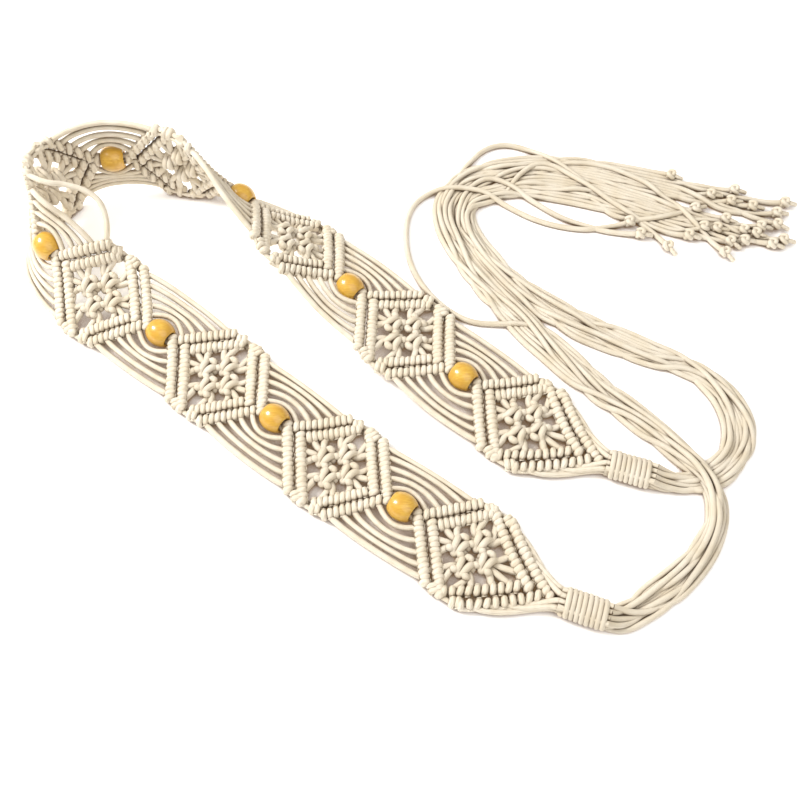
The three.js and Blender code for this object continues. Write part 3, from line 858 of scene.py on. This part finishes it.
def float_root(i, side):
    """Where the i-th bare cord leaves a side: on its outer edge, from the blunt tip to the shoulder."""
    reach, angle = side
    share = (i + 0.5) / FLOATS_PER_SIDE
    tip_across = max(0.0, (SIDE_DISTANCE - reach * math.sin(angle)) / math.cos(angle))
    tip = Vector((reach, tip_across))
    return tip.lerp(side_point(SIDE_DISTANCE, side, HALF_WIDTH), share)


def side_normal(side):
    return Vector((math.sin(side[1]), math.cos(side[1])))


def float_control(root, apex):
    """The handle of a bare cord's curve, so that the curve's middle lies as far out as apex."""
    # The middle of a symmetric Bezier curve is a quarter of its ends plus three of its handles
    handle = (4 * apex - root.y) / 3 - root.y
    if handle < 0:
        return Vector((root.x + BUNCHED_REACH, root.y + handle))
    normal = side_normal(SIDE)
    return root + normal * handle / normal.y


def float_lines(outer_widest, rng):
    """Bare cords that arch round the bead to the next panel, and the two that go through it."""
    nearest = BEAD_DIAMETER / 2 + CORD
    lines = []
    for i in range(FLOATS_PER_SIDE):
        outside = float_root(i, SIDE)
        root = outside - side_normal(SIDE) * ROW / 2
        for hand, widest in ((-1, FLOATS_WIDEST), (1, outer_widest)):
            control = float_control(outside, lerp(nearest, widest, i / (FLOATS_PER_SIDE - 1)))
            wander = rng.uniform(*FLOAT_WANDER)
            skew = rng.uniform(*FLOAT_SKEW)
            rise = rng.uniform(*FLOAT_RISE)
            lines.append(bezier([
                (root.x, hand * root.y, ROW_LIFT),
                (control.x + skew, hand * (control.y + wander), rise),
                (PITCH - control.x + skew, hand * (control.y + wander), rise),
                (PITCH - root.x, hand * root.y, ROW_LIFT),
            ], FLOAT_STEPS))
    reach = HALF_LENGTH - ROW
    for hand in (-1, 1):
        places = (lerp(reach, PITCH - reach, k / CORE_STEPS) for k in range(CORE_STEPS + 1))
        lines.append([(along, hand * CORE_SPACING / 2, 0) for along in places])
    return lines


def wrap_float_lines(direction, rng):
    """Bare cords that gather from an end panel into its wrap."""
    face = WRAP_OFFSET - WRAP_LENGTH / 2
    near, far = GATHER_HANDLES
    lines = []
    for i in range(FLOATS_PER_SIDE):
        root = float_root(i, END_SIDE) - side_normal(END_SIDE) * ROW / 2
        across, up = WRAP_ENTRIES[i]
        for hand in (-1, 1):
            out = root.y * GATHER_SHARE + GATHER_OUT + rng.uniform(-GATHER_WANDER, GATHER_WANDER)
            points = bezier([
                (root.x, hand * max(1, root.y), ROW_LIFT),
                (lerp(root.x, face, near), hand * out, 0),
                (lerp(root.x, face, far), hand * across, up),
                (face, hand * across, up),
            ], GATHER_STEPS)
            points.append(Vector((face + WRAP_OVERLAP, hand * across, up)))
            lines.append([(direction * x, c, u) for x, c, u in points])
    return lines


def on_band(along, lines, radius):
    """Lines of the flat band, carried onto its path. No cord sinks into the surface under it."""
    placed = [[band_point(along + x, c, u) for x, c, u in line] for line in lines]
    for line in placed:
        for point in line:
            point.z = max(point.z, radius * MM)
    return placed


def slipped_float(along):
    """The bare cord that has slipped, from its row to the next panel's by way of SLIPPED_WAY."""
    root = float_root(FLOATS_PER_SIDE - 1, SIDE)
    start = band_point(along + root.x - SLIPPED_HOLD, -root.y, ROW_LIFT)
    end = band_point(along + PITCH - root.x + SLIPPED_HOLD, -root.y, ROW_LIFT)
    return spline([start, *(to_row(*p) for p in SLIPPED_WAY), end], SLIPPED_STEPS)


def make_panel(number, cotton):
    """A panel's hitches, net and held cords, with the bare cords that run on to the next panel."""
    rng = random.Random(PANEL_SEED + number)
    back = END_SIDE if number == 1 else SIDE
    front = END_SIDE if number == PANELS else SIDE
    along = (number - 1) * PITCH
    net = [spline(line, NET_STEPS) for line in net_lines(back, front)]
    bare = []
    if number == 1:
        bare += wrap_float_lines(-1, rng)
    if number == PANELS:
        bare += wrap_float_lines(1, rng)
    else:
        bare += float_lines(BUNCHED_WIDEST if number == BUNCHED_PANEL else FLOATS_WIDEST, rng)
    straight, beside = hitch_lines(back, front, rng)
    held = holding_lines(back, front)
    if number == SLIPPED_PANEL:
        bare.pop(SLIPPED_FLOAT)
    placed = on_band(along, bare, CORD / 2)
    if number == SLIPPED_PANEL:
        placed.append(slipped_float(along))
    mesh = joined_mesh([
        cord_mesh(on_band(along, straight, THROUGH_RADIUS), THROUGH_RADIUS),
        cord_mesh(on_band(along, beside, LOOP_RADIUS), LOOP_RADIUS),
        cord_mesh(on_band(along, net, KNOTTED_CORD / 2), KNOTTED_CORD / 2),
        cord_mesh(on_band(along, held, HELD_RADIUS), HELD_RADIUS, HELD_SIDES),
        cord_mesh(placed, CORD / 2),
    ])
    return finished_mesh(f"panel_{number}_cords", mesh, cotton, "cord", f"panel_{number}")


def make_bead(number, wood):
    """A turned bead: its profile spun about the hole."""
    half = BEAD_LENGTH / 2
    hole = BEAD_HOLE / 2
    belly = BEAD_DIAMETER / 2
    slope = math.acos(BEAD_END_DIAMETER / 2 / belly)
    corner = BEAD_RIM * BEAD_RIM_CORNER
    profile = [(hole, 0.0), (hole, half - BEAD_RIM), (hole + corner, half - corner),
               (hole + BEAD_RIM, half)]
    for k in range(BEAD_PROFILE_STEPS + 1):
        angle = slope * (1 - k / BEAD_PROFILE_STEPS)
        profile.append((belly * math.cos(angle), half * math.sin(angle) / math.sin(slope)))
    full = profile + [(r, -z) for r, z in reversed(profile[1:-1])]
    bm = bmesh.new()
    verts = [bm.verts.new((r, 0, z)) for r, z in full]
    edges = [bm.edges.new(pair) for pair in zip(verts, verts[1:] + verts[:1])]
    bmesh.ops.spin(bm, geom=verts + edges, cent=(0, 0, 0), axis=(0, 0, 1), angle=2 * math.pi,
                   steps=BEAD_TURN_STEPS, use_merge=True, use_duplicate=False)
    bmesh.ops.remove_doubles(bm, verts=bm.verts, dist=1e-4)
    bmesh.ops.recalc_face_normals(bm, faces=bm.faces)
    along = (number - 1) * PITCH + HALF_PITCH
    axis = band_point(along + 1, 0) - band_point(along - 1, 0)
    turn = axis.to_track_quat("Z", "Y").to_matrix().to_4x4()
    place = Matrix.Translation(band_point(along, 0)) @ turn @ Matrix.Scale(MM, 4)
    bmesh.ops.transform(bm, matrix=place, verts=bm.verts)
    mesh = bpy.data.meshes.new("bead")
    bm.to_mesh(mesh)
    bm.free()
    mesh.shade_smooth()
    return finished_mesh(f"bead_{number}_wood", mesh, wood, "bead", f"bead_{number}")


def wrap_frame(end):
    """The middle of a wrap on the surface, and the directions along and across it."""
    _, x, y, heading, _, _ = PATH[end]
    ahead = Vector((math.cos(heading), math.sin(heading), 0))
    return Vector((x, y, 0)), ahead, Vector((-ahead.y, ahead.x, 0))


def make_wrap(name, end, cotton):
    """Turns of cord round the twelve cords, flattened where they rest, and the cords inside."""
    middle, ahead, aside = wrap_frame(end)
    cord = WRAP_LENGTH / WRAP_TURNS
    half_width = WRAP_WIDTH / 2 - cord / 2
    half_height = WRAP_HEIGHT / 2 - cord / 2
    height = WRAP_HEIGHT / 2 - WRAP_FLAT
    rng = random.Random(name)

    def place(along, across, up):
        point = middle + ahead * along + aside * across
        return to_row(point.x, point.y, max(cord / 2, height + up))

    turns = []
    bulge = [rng.uniform(-WRAP_BULGE, WRAP_BULGE) for _ in range(WRAP_TURNS + 1)]
    for i in range(WRAP_TURNS * WRAP_TURN_STEPS + 1):
        turn = i / WRAP_TURN_STEPS
        angle = 2 * math.pi * turn
        k = min(int(turn), WRAP_TURNS - 1)
        more = lerp(bulge[k], bulge[k + 1], turn - k)
        along = -WRAP_LENGTH / 2 + cord / 2 + (WRAP_LENGTH - cord) * turn / WRAP_TURNS
        turns.append(place(along, (half_width + more) * math.cos(angle),
                           (half_height + more) * math.sin(angle)))
    inside = []
    reach = WRAP_LENGTH / 2 + INSIDE_REACH
    for across, up in EXITS:
        places = (lerp(-reach, reach, k / INSIDE_STEPS) for k in range(INSIDE_STEPS + 1))
        inside.append([place(along, across, up) for along in places])
    mesh = joined_mesh([
        cord_mesh([turns], cord / 2 + WRAP_PRESS),
        cord_mesh(inside, CORD / 2, HELD_SIDES),
    ])
    return finished_mesh(f"{name}_turns", mesh, cotton, "cord", name)


# Ties
def tie_width(share, sections):
    return float(np.interp(share, [s for s, _ in sections], [w for _, w in sections]))


def tie_guess(end, direction, route, widths, ends, strays, hump, rng):
    """The first guess at each cord of a tie, as points in millimetres TIE_STEP apart."""
    middle, ahead, aside = wrap_frame(end)
    ahead = ahead * direction
    aside = aside * direction
    face = WRAP_LENGTH / 2 + TIE_GAP
    height = WRAP_HEIGHT / 2 - WRAP_FLAT
    leads = [middle + ahead * face, middle + ahead * (face + LEAD)]
    points = [*leads, *(Vector((x, y, 0)) for x, y in route)]
    # The route has a point for each millimetre
    line = even_line(spline(points, ROUTE_STEPS), 1)
    total = len(line) - 1
    cords = []
    for k in range(TIE_CORDS):
        entry_across, entry_up = EXITS[k]
        waves = [[(rng.uniform(*often), rng.uniform(0, 2 * math.pi), rng.uniform(*much))
                  for often, much in CORD_WAVES] for _ in range(2)]
        leave, places = strays.get(k, (rng.uniform(*LEAVE_SHARE), []))
        jitter = 0 if places else END_JITTER
        goal = Vector((ends[k][0] - rng.uniform(0, 2 * jitter),
                       ends[k][1] + rng.uniform(-jitter, jitter), END_KNOT_RADIUS))
        cord = []
        for i in range(0, int(total * leave) + 1, TIE_STEP):
            share = i / total
            before, after = line[max(i - 2, 0)], line[min(i + 2, total)]
            tangent = (after - before).normalized()
            right = Vector((-tangent.y, tangent.x, 0))
            lane, layer = (
                max(-1.0, min(1.0, sum(much * math.sin(often * 2 * math.pi * share + phase)
                                       for often, phase, much in pair)))
                for pair in waves)
            width = tie_width(share, widths)
            stack = TIE_CORDS * CORD * CORD * CORD_PACKING / width - CORD
            start = smooth(i / SPREAD_OVER)
            offset = lerp(entry_across, lane * (width - CORD) / 2, start)
            up = lerp(height + entry_up, CORD / 2 + max(0, stack) * (layer + 1) / 2, start)
            if hump:
                top, reach, rise = hump
                away = abs(share - top) / reach
                up += rise * (0.5 + 0.5 * math.cos(math.pi * min(1.0, away)))
            point = line[i] + right * offset
            point.z = up
            cord.append(point)
        last = cord[-1]
        heading = (cord[-1] - cord[-4]).normalized()
        if places:
            cord += spline([last, *places, goal], ROUTE_STEPS)[1:]
        else:
            far = (goal - last).length
            swing = Vector((-heading.y, heading.x, 0)) * rng.uniform(-END_SWING, END_SWING)
            start_share, end_share = END_HANDLES
            bend = [last, last + heading * far * start_share + swing * START_SWING_SHARE,
                    goal - (goal - last) * end_share - swing, goal]
            bend[2].z = rng.uniform(*END_RISE)
            cord += bezier(bend, max(4, round(far / TIE_STEP)))[1:]
        cords.append(even_line(cord, TIE_STEP))
    return cords


def settle(cords):
    """Lays the cords on the surface and on each other, as limp cord falls."""
    points = np.array([tuple(p) for cord in cords for p in cord])
    owner = np.concatenate([np.full(len(cord), k) for k, cord in enumerate(cords)])
    starts = np.concatenate([[0], np.cumsum([len(cord) for cord in cords])])
    free = np.ones(len(points))
    inner = np.ones(len(points), bool)
    for a, b in zip(starts, starts[1:]):
        free[a:a + len(HELD_START)] = HELD_START
        free[b - 1] = 0
        inner[a] = inner[b - 1] = False
    inside = np.flatnonzero(inner)
    home = points.copy()
    for _ in range(SETTLE_ROUNDS):
        points[:, 2] -= FALL * free
        points[:, :2] += (home[:, :2] - points[:, :2]) * PULL_HOME * free[:, None]
        middle = (points[inside - 1] + points[inside + 1]) / 2
        points[inside] += (middle - points[inside]) * STIFFNESS * free[inside, None]
        tree = KDTree(len(points))
        for i, p in enumerate(points):
            tree.insert(p, i)
        tree.balance()
        first, second = [], []
        for i, p in enumerate(points):
            for _, j, _ in tree.find_range(p, TOUCH):
                if j > i and (owner[i] != owner[j] or j - i > NEIGHBOURS):
                    first.append(i)
                    second.append(j)
        if first:
            first, second = np.array(first), np.array(second)
            apart = points[second] - points[first]
            far = np.maximum(np.linalg.norm(apart, axis=1), NEAREST)
            push = apart / far[:, None] * ((TOUCH - far) / 2)[:, None]
            move = np.zeros_like(points)
            hits = np.zeros(len(points))
            np.add.at(move, first, -push)
            np.add.at(move, second, push)
            np.add.at(hits, first, 1)
            np.add.at(hits, second, 1)
            points += move / np.maximum(hits, 1)[:, None] * PUSH * free[:, None]
        points[:, 2] = np.where(free > 0.5, np.maximum(points[:, 2], CORD / 2), points[:, 2])
    for _ in range(SMOOTHINGS):
        middle = (points[inside - 1] + points[inside + 1]) / 2
        points[inside] += (middle - points[inside]) * LAST_STIFFNESS * free[inside, None]
    return [[Vector(p) for p in points[a:b]] for a, b in zip(starts, starts[1:])]


def end_knot(cord):
    """An overhand knot pulled tight round the end of a cord, with a short tail."""
    tip = cord[-1]
    ahead = (cord[-1] - cord[-3])
    ahead.z = 0
    ahead.normalize()
    side = Vector((-ahead.y, ahead.x, 0))
    up = Vector((0, 0, 1))
    loops = []
    # The overhand knot is a trefoil, which reaches three times its size from its middle
    size = (END_KNOT_RADIUS - CORD / 2 + KNOT_SLACK) / 3
    for i in range(KNOT_STEPS + 1):
        t = 2 * math.pi * i / KNOT_STEPS + KNOT_TURN
        x = math.sin(t) + 2 * math.sin(2 * t)
        y = math.cos(t) - 2 * math.cos(2 * t)
        z = -math.sin(3 * t)
        loops.append(tip + side * x * size + up * y * size + ahead * z * KNOT_DEPTH)
    tail = [tip, tip + ahead * TAIL_START,
            tip + ahead * TAIL_LENGTH - up * TAIL_DROP + side * TAIL_ASIDE]
    return loops, tail


def make_ties(cotton):
    """The 24 loose cords, each with its knot, laid out and settled together."""
    rng = random.Random(TIE_SEED)
    front = tie_guess(0, -1, ROUTE_FRONT, WIDTHS_FRONT, ENDS_FRONT, STRAYS_FRONT, HUMP, rng)
    back = tie_guess(-1, 1, ROUTE_BACK, WIDTHS_BACK, ENDS_BACK, STRAYS_BACK, None, rng)
    cords = settle(front + back)
    for k, cord in enumerate(cords):
        name = "tie_front" if k < TIE_CORDS else "tie_back"
        number = k % TIE_CORDS + 1
        line = [to_row(*p) for p in spline(cord, CORD_STEPS)]
        mesh = joined_mesh([cord_mesh([line], CORD / 2)])
        piece = finished_mesh(f"{name}_cord_{number:02}", mesh, cotton, "cord", name)
        loops, tail = end_knot(cord)
        knot_mesh = joined_mesh([
            cord_mesh([[to_row(*p) for p in loops]], KNOT_CORD_RADIUS),
            cord_mesh([[to_row(*p) for p in spline(tail, TAIL_STEPS)]], TAIL_RADIUS),
        ])
        knot = finished_mesh(f"{name}_knot_{number:02}", knot_mesh, cotton, "cord")
        tuple(line[0])
        round(line_length(line), 3)
        [tuple(p) for p in line]


make_camera()
# The last colour is the painted shade in the braid's grooves
cotton = make_cotton("waxed_cotton_cord", "F0E7D6", "E6DAC3", "B39A6C")
wood = make_lacquered_wood()
make_ties(cotton)
make_studio()
for number in range(1, PANELS + 1):
    make_panel(number, cotton)
for number in range(1, PANELS):
    make_bead(number, wood)
make_wrap("wrap_front", 0, cotton)
make_wrap("wrap_back", -1, cotton)
